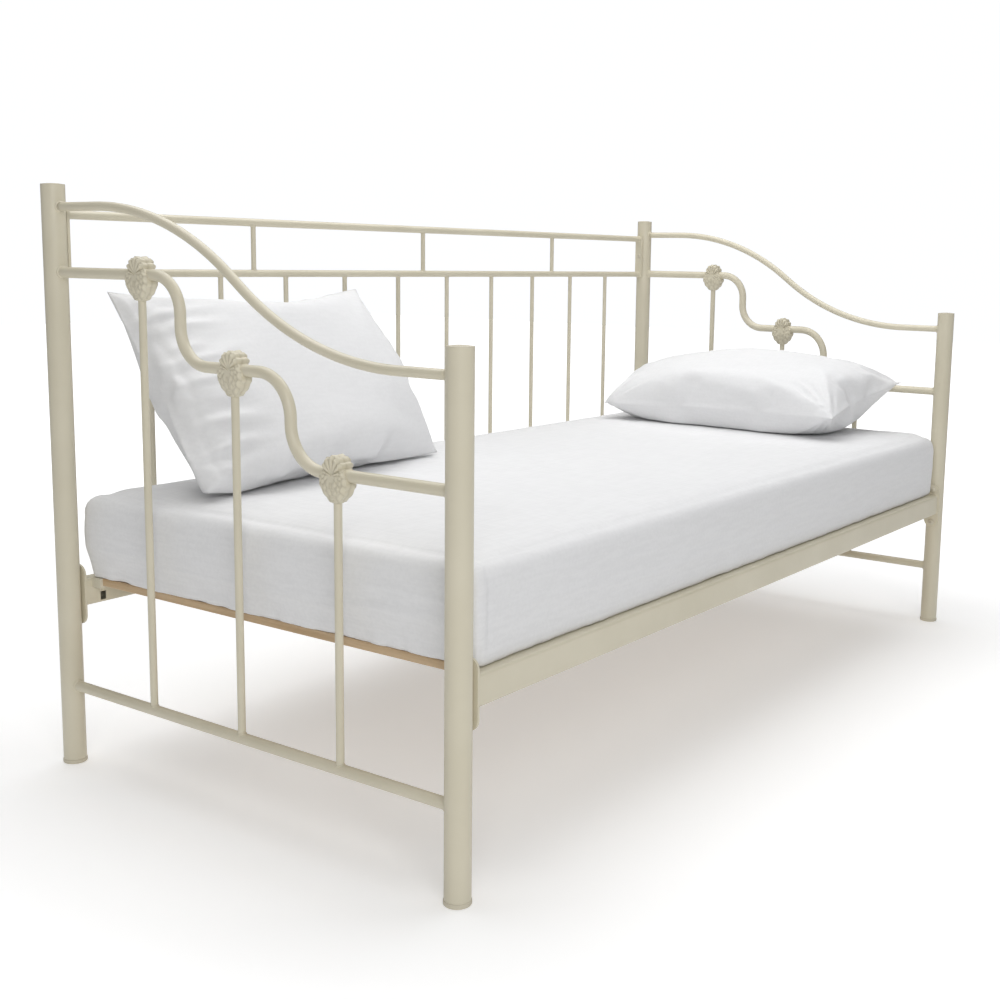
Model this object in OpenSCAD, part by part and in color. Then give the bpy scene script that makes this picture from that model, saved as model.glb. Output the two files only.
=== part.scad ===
// Single metal daybed with bedding.
// Two welded tubular end panels and a back panel bolt together with two box-section side rails.
// The side rails carry a slat base, a mattress in a fitted sheet and two pillows.
// Origin: on the floor, under the middle of the frame. +X runs along the bed, +Y points to the back.

/* [Overall] */
// Distance between the post centres along the bed
post_span_x = 1970; // [1960:1:2000]
// Distance between the post centres across the bed
post_span_y = 920; // [918:1:960]

/* [Posts] */
// Outer diameter of the four posts
post_d = 41; // [38:0.5:44]
// Wall thickness of the posts
post_wall = 1.2; // [1:0.1:2]
// Height of the back posts with their caps
back_post_h = 1054; // [1040:1:1100]
// Height of the front posts with their caps
front_post_h = 818; // [805:1:860]
// Height of the part of a cap that stands above the tube
cap_h = 3; // [2:0.5:6]
// Height of the foot flange under the tube
glide_h = 8; // [5:0.5:15]
// Diameter of the foot flange
glide_d = 43; // [42:0.5:50]

/* [End panels] */
// Diameter of the S-shaped top rail
top_rail_d = 16; // [14:0.5:19]
// Height of the top rail's centre line at the back post
top_rail_back_z = 1013; // [1005:1:1020]
// Distance from the back post's centre to the top rail's first bend
top_rail_start = 124; // [110:1:130]
// Radius of the top rail's two bends
top_bend_r = 550; // [530:5:560]
// Straight length of the top rail between its bends
top_straight = 30; // [10:5:40]
// Diameter of the scroll rail and the bottom rail
scroll_d = 19; // [16:0.5:22]
// Height of the scroll rail's first level, at the back post
scroll_z = 900; // [890:1:910]
// Drop of the scroll rail from one level to the next
scroll_drop = 144; // [140:1:146]
// Bend radius of the scroll rail's first drop
scroll_bend_1 = 62; // [58:1:66]
// Bend radius of the scroll rail's second drop
scroll_bend_2 = 69; // [64:1:69]
// Height of the bottom rail's centre line
bottom_rail_z = 148; // [130:1:200]
// Diameter of the end spindles
end_spindle_d = 13; // [10:0.5:16]
// Distance between the end spindles
end_spindle_pitch = 224; // [222:1:226]

/* [Castings] */
// Thickness of a casting, along the bed
cast_t = 32; // [26:1:36]
// Radius at which the fan's lobes lie, above the rail
cast_fan_r = 25; // [22:0.5:28]
// Radius of one fan lobe
cast_lobe_r = 8.5; // [8:0.5:10]

/* [Back panel] */
// Distance of the back panel behind the back posts' centres
back_offset = 6; // [0:0.5:8]
// Diameter of the back panel's top rail
back_top_d = 16; // [14:0.5:19]
// Diameter of the back panel's middle rail
back_mid_d = 15; // [13:0.5:19]
// Height of the back panel's top rail
back_top_z = 1001; // [990:1:1010]
// Height of the back panel's middle rail
back_mid_z = 898.5; // [890:0.5:910]
// Diameter of the back spindles
back_spindle_d = 10; // [8:0.5:13]
// Number of back spindles
back_spindles = 10; // [4:2:10]
// Distance between the back spindles
back_pitch = 174.6; // [150:0.1:180]

/* [Side rails] */
// Height of a side rail
rail_h = 50; // [40:1:60]
// Width of a side rail
rail_w = 30; // [25:1:32]
// Height of the side rails' lower face
rail_z = 293; // [280:1:300]
// Wall thickness of the side rails
rail_wall = 1.5; // [1.2:0.1:2.5]
// Radius of the side rails' corners
rail_corner_r = 5; // [3:0.5:7]
// Height of an end plate
plate_h = 112; // [106:1:120]
// Width of an end plate
plate_w = 38; // [34:1:40]
// Thickness of an end plate
plate_t = 4; // [3:0.5:5]
// Distance between the two bolts of an end plate
bolt_spacing = 86; // [80:1:90]

/* [Slats] */
// Number of slats
slats_n = 14; // [10:1:15]
// Width of a slat
slat_w = 65; // [50:1:70]
// Thickness of a slat
slat_t = 14; // [8:1:16]
// Distance from the end posts' centres to the first slat's edge
slat_start = 45; // [42:1:60]

/* [Mattress] */
// Length of the mattress with its sheet
mattress_l = 1900; // [1880:5:1900]
// Width of the mattress with its sheet
mattress_w = 904; // [880:1:906]
// Thickness of the mattress with its sheet
mattress_h = 166; // [120:1:200]
// Gap from the left posts' centres to the mattress
mattress_gap = 48; // [46:1:54]

/* [Pillows] */
// Length of a pillow
pillow_l = 700; // [600:5:720]
// Width of a pillow
pillow_w = 440; // [400:5:460]
// Thickness of a pillow at its middle
pillow_t = 150; // [100:5:160]
// Lean of the left pillow against the back panel, from flat
pillow_lean = 54; // [52:1:58]
// Tilt of the right pillow, its outer edge raised
pillow_tilt = 11; // [8:0.5:12]

/* [Hidden] */
ENDS = ["left", "right"];
SIDES = ["front", "back"];
LEVELS = [1, 2, 3];
UPRIGHTS = ["left", "middle", "right"];

$fn = 48;
CREAM = "#d3ccb4";
TIMBER = "#c8a777";
WHITE = "#f2f2f0";
STEEL = "#a9a9a6";
clear = 0.3;      // gap between bodies that only rest on each other
post_r = post_d / 2;
tube_wall = 1.2;  // wall of the bent and straight rails
rod_wall = 1;     // wall of the spindles
cope = 5;         // how far a rail's blank runs into a post before it is coped

plate_x = post_r;                                 // a plate's outer face, from the post's centre
rail_start = plate_x + plate_t;
rail_mid_z = rail_z + rail_h / 2;
rail_top_z = rail_z + rail_h;
plate_mid_z = rail_mid_z - 4;
rail_inner_y = post_span_y / 2 - rail_w / 2;
bolt_d = 8;
bolt_hole_d = 8.6;
nut_flats = 13;
nut_h = 6.5;
head_d = 17;
head_h = 5;
hook_hole = [12, 16];                             // length and height of the hole in a side rail
hook_hole_x = 62;                                 // its place, from the post's centre
hook_hole_z = 306;

back_y = post_span_y / 2 + back_offset;
bar_t = 5.5;
bar_w = 22;
bar_y = post_span_y / 2 + back_offset / 2;
bar_h = back_top_z - back_mid_z + 16;
bar_bolt_z = 953;
bar_bolt_d = 6;
back_rail_x = post_span_x / 2 - post_r - bar_t;   // where the back rails meet the end bars
bottom_back_d = 16;
bottom_back_z = rail_top_z + bottom_back_d / 2;
bottom_back_x = back_pitch * back_spindles / 2 - back_pitch / 3;
bottom_bolt_x = back_pitch * (back_spindles / 2 - 1);

slat_top_z = rail_top_z + 1;
slat_pitch = (post_span_x - 2 * slat_start - slat_w) / (slats_n - 1);
holder_wall = 3;
holder_floor = 4;
holder_cheek = 5.5;
holder_depth = 24;

mattress_z = slat_top_z + clear;
mattress_x = -post_span_x / 2 + mattress_gap + mattress_l / 2;
mattress_top_z = mattress_z + mattress_h;
mattress_corner_r = 45;
sheet_t = 0.8;
sheet_hem = 90;                                   // how far the sheet turns in under the mattress
pad_t = 13;                                       // quilted padding around the sprung core's space

// ---------- placing ----------

function end_x(e) = (e == "left" ? -1 : 1) * post_span_x / 2;
function inward(e) = e == "left" ? 1 : -1;
function side_y(s) = (s == "front" ? -1 : 1) * post_span_y / 2;
function post_top(s) = s == "front" ? front_post_h : back_post_h;
function spindle_s(k) = post_span_y / 2 + (k - 2) * end_spindle_pitch;
function level_z(k) = scroll_z - (k - 1) * scroll_drop;
function back_x(i) = (i - (back_spindles + 1) / 2) * back_pitch;

// Draws in an end panel's plane: x runs from the back post's centre to the front, y runs up.
module in_end_plane(e) {
    translate([end_x(e), post_span_y / 2, 0]) rotate([90, 0, -90]) children();
}

module at_post(s, e) {
    translate([end_x(e), side_y(s), 0]) children();
}

module along_x(h, d) {
    rotate([0, 90, 0]) cylinder(h = h, d = d);
}

module along_y(h, d) {
    rotate([-90, 0, 0]) cylinder(h = h, d = d);
}

// ---------- shared shapes ----------

module round_rect(w, h, r) {
    square([w - 2 * r, h], center = true);
    square([w, h - 2 * r], center = true);
    for (x = [-1, 1], y = [-1, 1])
        translate([x * (w / 2 - r), y * (h / 2 - r)]) circle(r = r);
}

// A quarter bend of a rod that runs along +x and turns towards +y, or towards -y if turn is -1
module quarter_bend(r, turn, d) {
    mirror([0, turn < 0 ? 1 : 0, 0]) translate([0, r, 0]) rotate([0, 0, -90])
        rotate_extrude(angle = 90, $fn = 180) translate([r, 0]) circle(d = d, $fn = 48);
}

// A rod along +x that follows a list of steps: [length] is straight, [radius, turn] a quarter bend.
module bent_rod(steps, d, i = 0) {
    if (i < len(steps)) {
        step = steps[i];
        if (len(step) == 1) {
            along_x(step[0], d);
            translate([step[0], 0, 0]) bent_rod(steps, d, i + 1);
        } else {
            quarter_bend(step[0], step[1], d);
            translate([step[0], step[1] * step[0], 0]) rotate([0, 0, step[1] * 90])
                bent_rod(steps, d, i + 1);
        }
    }
}

// A vertical tube between two heights
module upright_tube(z0, z1, d, wall) {
    translate([0, 0, z0]) difference() {
        cylinder(h = z1 - z0, d = d);
        translate([0, 0, -1]) cylinder(h = z1 - z0 + 2, d = d - 2 * wall);
    }
}

// ---------- posts ----------

module post(s, e) {
    color(CREAM) at_post(s, e) difference() {
        upright_tube(glide_h, post_top(s) - cap_h, post_d, post_wall);
        for (z = [-1, 1])
            translate([0, 0, plate_mid_z + z * bolt_spacing / 2])
                mirror([inward(e) < 0 ? 1 : 0, 0, 0]) along_x(post_d, bolt_hole_d);
        if (s == "back")
            translate([0, 0, bar_bolt_z])
                mirror([inward(e) < 0 ? 1 : 0, 0, 0]) along_x(post_d, bar_bolt_d);
    }
}

// A push-in foot: a flange with a rounded rim, and a plug up inside the tube
module foot_glide(s, e) {
    rim = 2;
    color(CREAM) at_post(s, e) rotate_extrude() {
        square([glide_d / 2 - rim, glide_h]);
        translate([0, rim]) square([glide_d / 2, glide_h - 2 * rim]);
        for (z = [rim, glide_h - rim])
            translate([glide_d / 2 - rim, z]) intersection() {
                circle(r = rim);
                translate([0, -rim]) square([rim, 2 * rim]);
            }
        square([post_r - post_wall, glide_h + 18]);
    }
}

// Push-in caps: a shallow dome on a thin rim, and a plug down inside the tube
module post_caps() {
    rim_h = 1.2;
    dome_h = cap_h - rim_h;
    dome_r = (post_r * post_r + dome_h * dome_h) / (2 * dome_h);
    color(CREAM) for (s = SIDES, e = ENDS)
        at_post(s, e) translate([0, 0, post_top(s) - cap_h]) {
            cylinder(h = rim_h, r = post_r);
            translate([0, 0, rim_h]) rotate_extrude() intersection() {
                translate([0, dome_h - dome_r]) circle(r = dome_r, $fn = 360);
                square([post_r, dome_h]);
            }
            translate([0, 0, -16]) cylinder(h = 16, r = post_r - post_wall);
        }
}

// ---------- end panels ----------

// Cuts both ends of a rail to the posts' round walls
module coped_to_posts() {
    difference() {
        children();
        for (x = [0, post_span_y])
            translate([x, 0, 0]) rotate([-90, 0, 0]) cylinder(h = back_post_h, d = post_d);
    }
}

// The top rail slopes down at the angle of a 3-4-5 triangle between its two bends.
slope_rise = 0.6;
slope_run = 0.8;
bend_run = slope_rise * top_bend_r;
bend_drop = (1 - slope_run) * top_bend_r;

module slope_frame(x, y) {
    translate([x, y, 0])
        multmatrix([[slope_run, slope_rise, 0, 0], [-slope_rise, slope_run, 0, 0], [0, 0, 1, 0]])
            children();
}

// The upper bend, from level to the slope, starting at the origin
module slope_bend(d) {
    difference() {
        translate([0, -top_bend_r, 0])
            rotate_extrude(angle = 90, $fn = 360) translate([top_bend_r, 0]) circle(d = d, $fn = 48);
        slope_frame(bend_run, -bend_drop) translate([0, -post_span_y, -post_d])
            cube([post_span_y, 2 * post_span_y, 2 * post_d]);
    }
}

module top_rod(d) {
    straight_run = slope_run * top_straight;
    straight_drop = slope_rise * top_straight;
    span = 2 * bend_run + straight_run;
    drop = 2 * bend_drop + straight_drop;
    translate([top_rail_start, top_rail_back_z, 0]) {
        translate([post_r - cope - top_rail_start, 0, 0])
            along_x(top_rail_start - post_r + cope, d);
        slope_bend(d);
        slope_frame(bend_run, -bend_drop) along_x(top_straight, d);
        translate([span, -drop, 0]) rotate([0, 0, 180]) slope_bend(d);
        translate([span, -drop, 0])
            along_x(post_span_y - post_r + cope - top_rail_start - span, d);
    }
}

flat_1 = 34;      // from the first casting's middle to the first drop
flat_2 = 56;      // from the second casting's middle to the second drop

function scroll_steps() =
    let (start = spindle_s(1) + flat_1 - post_r + cope,
         middle = spindle_s(2) + flat_2 - spindle_s(1) - flat_1 - 2 * scroll_bend_1,
         finish = post_span_y - post_r + cope - spindle_s(2) - flat_2 - 2 * scroll_bend_2)
    [[start],
     [scroll_bend_1, -1], [scroll_drop - 2 * scroll_bend_1], [scroll_bend_1, 1], [middle],
     [scroll_bend_2, -1], [scroll_drop - 2 * scroll_bend_2], [scroll_bend_2, 1], [finish]];

module scroll_rod(d) {
    translate([post_r - cope, scroll_z, 0]) bent_rod(scroll_steps(), d);
}

module end_top_rail(e) {
    color(CREAM) in_end_plane(e) coped_to_posts() difference() {
        top_rod(top_rail_d);
        top_rod(top_rail_d - 2 * tube_wall);
    }
}

module end_scroll_rail(e) {
    color(CREAM) in_end_plane(e) coped_to_posts() difference() {
        scroll_rod(scroll_d);
        scroll_rod(scroll_d - 2 * tube_wall);
    }
}

module end_bottom_rail(e) {
    length = post_span_y - 2 * post_r + 2 * cope;
    color(CREAM) in_end_plane(e) coped_to_posts()
        translate([post_r - cope, bottom_rail_z, 0]) difference() {
            along_x(length, scroll_d);
            along_x(length, scroll_d - 2 * tube_wall);
        }
}

// A spindle stands on the bottom rail and ends under the scroll rail, inside its casting
module end_spindle(e, k) {
    color(CREAM) translate([end_x(e), post_span_y / 2 - spindle_s(k), 0]) difference() {
        upright_tube(bottom_rail_z, level_z(k), end_spindle_d, rod_wall);
        for (z = [bottom_rail_z, level_z(k)])
            translate([0, -end_spindle_d, z]) along_y(2 * end_spindle_d, scroll_d);
    }
}

// A shell casting on its own axes: the rail runs along y, the spindle comes up from below.
// A fan of lobes stands over the rail, and a wider body of petals hangs round the spindle's end.
module casting_body() {
    petal_r = 7;
    petal_ring = 22;
    collar_h = 10;
    body_r = 22;
    body_drop = 7;
    neck_r = 12;

    module disc(y, z, r, t) {
        translate([0, y, z]) rotate([0, 90, 0]) cylinder(h = t, r = r, center = true);
    }
    for (a = [-40 : 20 : 40])
        disc(cast_fan_r * sin(a), cast_fan_r * cos(a), cast_lobe_r, cast_t);
    disc(0, cast_fan_r / 2, 14, cast_t);
    disc(0, -body_drop, body_r, cast_t);
    for (a = [-70, -40, 40, 70])
        disc(petal_ring * sin(a), -petal_ring * cos(a), petal_r, cast_t - 4);
    disc(0, -petal_ring - 3, neck_r, cast_t - 6);
    translate([0, 0, -42]) cylinder(h = collar_h, d = end_spindle_d + 5);
}

module shell_casting(e, k) {
    color(CREAM) difference() {
        translate([end_x(e), post_span_y / 2 - spindle_s(k), level_z(k)]) casting_body();
        in_end_plane(e) scroll_rod(scroll_d);
        translate([end_x(e), post_span_y / 2 - spindle_s(k), bottom_rail_z])
            cylinder(h = level_z(k) - bottom_rail_z, d = end_spindle_d);
    }
}

// ---------- back panel ----------

module back_rail(z, d, x) {
    translate([-x, back_y, z]) difference() {
        along_x(2 * x, d);
        translate([-1, 0, 0]) along_x(2 * x + 2, d - 2 * tube_wall);
    }
}

module back_top_rail() {
    color(CREAM) back_rail(back_top_z, back_top_d, back_rail_x);
}

module back_middle_rail() {
    color(CREAM) back_rail(back_mid_z, back_mid_d, back_rail_x);
}

// The bottom rail lies on the back side rail, with three bolts down through it
module back_bottom_rail() {
    color(CREAM) difference() {
        back_rail(bottom_back_z, bottom_back_d, bottom_back_x);
        for (x = [-1 : 1])
            translate([x * bottom_bolt_x, back_y, rail_top_z - 1])
                cylinder(h = bottom_back_d + 2, d = bar_bolt_d);
    }
}

module back_end_bar(e) {
    x0 = end_x(e) + inward(e) * (post_r + bar_t / 2);
    color(CREAM) translate([x0, bar_y, (back_top_z + back_mid_z) / 2]) difference() {
        rotate([0, 90, 0]) linear_extrude(bar_t, center = true) round_rect(bar_h, bar_w, 4);
        translate([-bar_t, post_span_y / 2 - bar_y, bar_bolt_z - (back_top_z + back_mid_z) / 2])
            along_x(2 * bar_t, bar_bolt_d);
    }
}

module back_rod(x, z0, d0, z1, d1) {
    color(CREAM) translate([x, back_y, 0]) difference() {
        upright_tube(z0, z1, back_spindle_d, rod_wall);
        translate([-back_spindle_d, 0, z0]) along_x(2 * back_spindle_d, d0);
        translate([-back_spindle_d, 0, z1]) along_x(2 * back_spindle_d, d1);
    }
}

module back_upright(u) {
    i = u == "left" ? -1 : u == "right" ? 1 : 0;
    back_rod(i * 3 * back_pitch, back_mid_z, back_mid_d, back_top_z, back_top_d);
}

module back_spindle(i) {
    back_rod(back_x(i), bottom_back_z, bottom_back_d, back_mid_z, back_mid_d);
}

// A domed head with its flat face at the origin, and a shank along -z
module domed_bolt(d, shank, head, height) {
    ball = (head * head / 4 + height * height) / (2 * height);
    rotate_extrude() intersection() {
        translate([0, height - ball]) circle(r = ball, $fn = 180);
        square([head / 2, height]);
    }
    translate([0, 0, -shank]) cylinder(h = shank, d = d);
}

module back_panel_bolts() {
    color(STEEL) {
        for (e = ENDS)
            translate([end_x(e) + inward(e) * (post_r + bar_t), post_span_y / 2, bar_bolt_z])
                rotate([0, inward(e) * 90, 0]) domed_bolt(bar_bolt_d, bar_t + post_wall + 6, 12, 3.5);
        for (x = [-1 : 1])
            translate([x * bottom_bolt_x, back_y, rail_top_z + bottom_back_d])
                domed_bolt(bar_bolt_d, bottom_back_d + 8, 12, 3.5);
    }
}

// ---------- side rails ----------

module side_rail(s) {
    length = post_span_x - 2 * rail_start;
    color(CREAM) translate([0, side_y(s), rail_mid_z]) difference() {
        rotate([90, 0, 90]) linear_extrude(length, center = true)
            round_rect(rail_w, rail_h, rail_corner_r);
        rotate([90, 0, 90]) linear_extrude(length + 2, center = true)
            round_rect(rail_w - 2 * rail_wall, rail_h - 2 * rail_wall, rail_corner_r - rail_wall);
        for (x = [-1, 1])
            translate([x * (post_span_x / 2 - hook_hole_x), (s == "front" ? 1 : -1) * rail_w / 2,
                       hook_hole_z - rail_mid_z])
                cube([hook_hole[0], 4 * rail_wall, hook_hole[1]], center = true);
        if (s == "back")
            for (x = [-1 : 1])
                translate([x * bottom_bolt_x, back_offset, 0]) cylinder(h = rail_h, d = bar_bolt_d);
    }
}

module rail_plate(s, e) {
    x0 = end_x(e) + inward(e) * (plate_x + plate_t / 2);
    color(CREAM) translate([x0, side_y(s), plate_mid_z]) rotate([0, 90, 0]) difference() {
        linear_extrude(plate_t, center = true) {
            square([plate_h - plate_w, plate_w], center = true);
            for (x = [-1, 1])
                translate([x * (plate_h - plate_w) / 2, 0]) circle(d = plate_w);
        }
        for (x = [-1, 1])
            translate([x * bolt_spacing / 2, 0, -plate_t]) cylinder(h = 2 * plate_t, d = bolt_hole_d);
    }
}

module at_rail_bolts(gap) {
    for (s = SIDES, e = ENDS, z = [-1, 1])
        translate([end_x(e) + inward(e) * gap, side_y(s), plate_mid_z + z * bolt_spacing / 2])
            rotate([0, inward(e) * 90, 0]) children();
}

module rail_bolts() {
    color(STEEL) at_rail_bolts(rail_start) difference() {
        domed_bolt(bolt_d, plate_t + post_wall + 14, head_d, head_h);
        translate([0, 0, head_h - 3]) cylinder(h = 4, d = 5.8, $fn = 6);
    }
}

module rail_nuts() {
    seat = sqrt(pow(post_r - post_wall, 2) - pow(nut_flats / 2, 2)) - 1;
    color(STEEL) at_rail_bolts(seat) translate([0, 0, -nut_h]) difference() {
        cylinder(h = nut_h, d = nut_flats / cos(30), $fn = 6);
        translate([0, 0, -1]) cylinder(h = nut_h + 2, d = bolt_d);
    }
}

// ---------- slats ----------

function slat_x(i) = -post_span_x / 2 + slat_start + slat_w / 2 + i * slat_pitch;

module slats() {
    length = 2 * (rail_inner_y - holder_wall);
    color(TIMBER) for (i = [0 : slats_n - 1])
        translate([slat_x(i), 0, slat_top_z - slat_t / 2]) rotate([90, 0, 0])
            linear_extrude(length, center = true) round_rect(slat_w, slat_t, 2.5);
}

// A plastic cradle on the side rail's inner face, open above, that a slat's end drops into
module slat_holder() {
    translate([-slat_w / 2 - holder_cheek, -holder_depth, -slat_t - holder_floor]) difference() {
        cube([slat_w + 2 * holder_cheek, holder_depth, slat_t + holder_floor]);
        translate([holder_cheek, -1, holder_floor])
            cube([slat_w, holder_depth - holder_wall + 1, slat_t + 1]);
    }
}

module slat_holders() {
    color(CREAM) for (i = [0 : slats_n - 1], m = [0, 1])
        mirror([0, m, 0]) translate([slat_x(i), rail_inner_y, slat_top_z]) slat_holder();
}

// ---------- bedding ----------

module mattress_block(shrink, z0, z1) {
    translate([mattress_x, 0, z0]) linear_extrude(z1 - z0)
        round_rect(mattress_l - 2 * shrink, mattress_w - 2 * shrink, mattress_corner_r - shrink);
}

// Quilted padding around the space that the sprung core fills
module mattress() {
    inner = sheet_t + pad_t;
    color(WHITE) difference() {
        mattress_block(sheet_t, mattress_z + sheet_t, mattress_top_z - sheet_t);
        mattress_block(inner, mattress_z + inner, mattress_top_z - inner);
    }
}

module fitted_sheet() {
    color(WHITE) difference() {
        mattress_block(0, mattress_z, mattress_top_z);
        mattress_block(sheet_t, mattress_z + sheet_t, mattress_top_z - sheet_t);
        translate([mattress_x, 0, mattress_z - 1]) linear_extrude(sheet_t + 2)
            round_rect(mattress_l - 2 * sheet_hem, mattress_w - 2 * sheet_hem, 20);
    }
}

// A stuffed cushion, lying flat about its own middle: full in the middle, thin at its corners
module cushion(l, w, t) {
    corner = t / 8;
    hull() {
        for (x = [-1, 1], y = [-1, 1])
            translate([x * (l / 2 - corner), y * (w / 2 - corner), 0]) sphere(r = corner, $fn = 16);
        scale([l / 2 * 0.92, w / 2 * 0.9, t / 2]) sphere(r = 1, $fn = 32);
    }
}

module pillow() {
    fill = 5;    // thickness of the case and the wadding around the loose filling
    color(WHITE) difference() {
        cushion(pillow_l, pillow_w, pillow_t);
        cushion(pillow_l - 2 * fill, pillow_w - 2 * fill, pillow_t - 2 * fill);
    }
}

pillow_left_pos = [-545, 312, 694];
pillow_right_pos = [745, 30, 595];

module pillow_left() {
    translate(pillow_left_pos) rotate([pillow_lean, 0, 0]) pillow();
}

module pillow_right() {
    translate(pillow_right_pos) rotate([0, -pillow_tilt, 0]) rotate([0, 0, 90]) pillow();
}

// ---------- nodes ----------

for (s = SIDES, e = ENDS) {
    post(s, e);
    foot_glide(s, e);
    rail_plate(s, e);
}
for (e = ENDS) {
    end_top_rail(e);
    end_scroll_rail(e);
    end_bottom_rail(e);
    back_end_bar(e);
}
for (e = ENDS, k = LEVELS) {
    end_spindle(e, k);
    shell_casting(e, k);
}
for (u = UPRIGHTS)
    back_upright(u);
for (i = [1 : back_spindles])
    back_spindle(i);
for (s = SIDES)
    side_rail(s);
post_caps();
back_top_rail();
back_middle_rail();
back_bottom_rail();
rail_bolts();
rail_nuts();
back_panel_bolts();
slats();
slat_holders();
mattress();
fitted_sheet();
pillow_left();
pillow_right();
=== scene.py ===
import math
import random

import bmesh
import bpy
import numpy as np
from mathutils import Matrix, Vector, noise
from mathutils.bvhtree import BVHTree


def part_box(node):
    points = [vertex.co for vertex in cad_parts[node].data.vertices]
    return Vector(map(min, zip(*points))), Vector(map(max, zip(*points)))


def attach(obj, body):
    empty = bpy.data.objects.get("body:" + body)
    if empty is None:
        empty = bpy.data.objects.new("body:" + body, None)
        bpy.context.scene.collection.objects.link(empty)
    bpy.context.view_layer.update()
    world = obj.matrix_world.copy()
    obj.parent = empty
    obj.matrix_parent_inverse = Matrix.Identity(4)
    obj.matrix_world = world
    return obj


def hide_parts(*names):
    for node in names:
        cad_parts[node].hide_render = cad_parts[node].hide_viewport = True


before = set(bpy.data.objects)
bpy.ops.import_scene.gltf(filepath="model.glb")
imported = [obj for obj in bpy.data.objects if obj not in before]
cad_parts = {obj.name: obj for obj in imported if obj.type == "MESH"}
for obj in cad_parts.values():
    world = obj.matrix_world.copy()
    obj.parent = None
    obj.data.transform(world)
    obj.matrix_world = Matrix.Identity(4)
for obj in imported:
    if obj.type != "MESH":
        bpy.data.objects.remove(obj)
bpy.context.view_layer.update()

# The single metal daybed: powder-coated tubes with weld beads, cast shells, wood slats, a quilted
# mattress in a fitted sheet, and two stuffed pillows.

MM = 0.001
ENDS = ("left", "right")
SIDES = ("front", "back")
LEVELS = (1, 2, 3)


# ---------- places, all read from the frame ----------

def centre_of(node):
    low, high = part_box(node)
    return (low + high) / 2


def radius_of(node, axis):
    low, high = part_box(node)
    return (high[axis] - low[axis]) / 2


POST = {(s, e): centre_of(f"post_{s}_{e}") for s in SIDES for e in ENDS}
POST_R = radius_of("post_front_left", 0)
MATTRESS_LOW, MATTRESS_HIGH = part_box("fitted_sheet")
HALF_X, HALF_Y = ((MATTRESS_HIGH[k] - MATTRESS_LOW[k]) / 2 for k in (0, 1))


# ---------- camera and stage ----------

def add_camera():
    """An eye just under a metre up, off the left front corner, looking along the bed."""
    yaw, pitch, roll = math.radians(55.0), math.radians(8.53), math.radians(0.94)
    forward = Vector((math.sin(yaw) * math.cos(pitch), math.cos(yaw) * math.cos(pitch), -math.sin(pitch)))
    level = Vector((math.cos(yaw), -math.sin(yaw), 0))
    plumb = level.cross(forward)
    right = math.cos(roll) * level + math.sin(roll) * plumb
    up = math.cos(roll) * plumb - math.sin(roll) * level
    data = bpy.data.cameras.new("camera")
    data.lens = 47.48
    data.sensor_width = 36
    data.shift_x = -0.0615
    data.shift_y = -0.0415
    data.clip_end = 60
    camera = bpy.data.objects.new("camera", data)
    bpy.context.scene.collection.objects.link(camera)
    camera.matrix_world = Matrix.Translation((-2.391, -1.6175, 0.9345)) @ Matrix(
        (right, up, -forward)).transposed().to_4x4()
    bpy.context.scene.camera = camera


def area_light(name, place, target, size, watts):
    data = bpy.data.lights.new(name, "AREA")
    data.shape = "RECTANGLE"
    data.size, data.size_y = size
    data.energy = watts
    lamp = bpy.data.objects.new(name, data)
    lamp.location = place
    lamp.rotation_mode = "QUATERNION"
    lamp.rotation_quaternion = (Vector(target) - Vector(place)).to_track_quat("-Z", "Y")
    bpy.context.scene.collection.objects.link(lamp)


def add_stage():
    """A pale floor, a pale surround and soft lights from above."""
    scene = bpy.context.scene
    scene.view_settings.view_transform = "Standard"
    world = bpy.data.worlds.new("surround")
    world.use_nodes = True
    tree = world.node_tree
    sky = tree.nodes["Background"]
    sky.inputs["Color"].default_value = (0.97, 0.98, 1.0, 1)
    seen = tree.nodes.new("ShaderNodeLightPath").outputs["Is Camera Ray"]
    level = tree.nodes.new("ShaderNodeMapRange")
    level.inputs["To Min"].default_value = 0.2      # what lights the bed
    level.inputs["To Max"].default_value = 1.03     # what the camera sees behind it
    tree.links.new(seen, level.inputs["Value"])
    tree.links.new(level.outputs["Result"], sky.inputs["Strength"])
    scene.world = world

    half = 14
    corners = [(-half, -half, 0), (half, -half, 0), (half, half, 0), (-half, half, 0)]
    mesh = bpy.data.meshes.new("floor")
    mesh.from_pydata(corners, [], [(0, 1, 2, 3)])
    floor = bpy.data.objects.new("floor", mesh)
    scene.collection.objects.link(floor)
    floor.data.materials.append(floor_material())

    area_light("overhead", (0.3, 0.4, 3.2), (0, 0.1, 0.4), (4.2, 3.2), 96)
    area_light("fill", (-3.2, -3.0, 2.2), (0, 0, 0.4), (2.4, 2.0), 61)


# ---------- materials ----------

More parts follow.
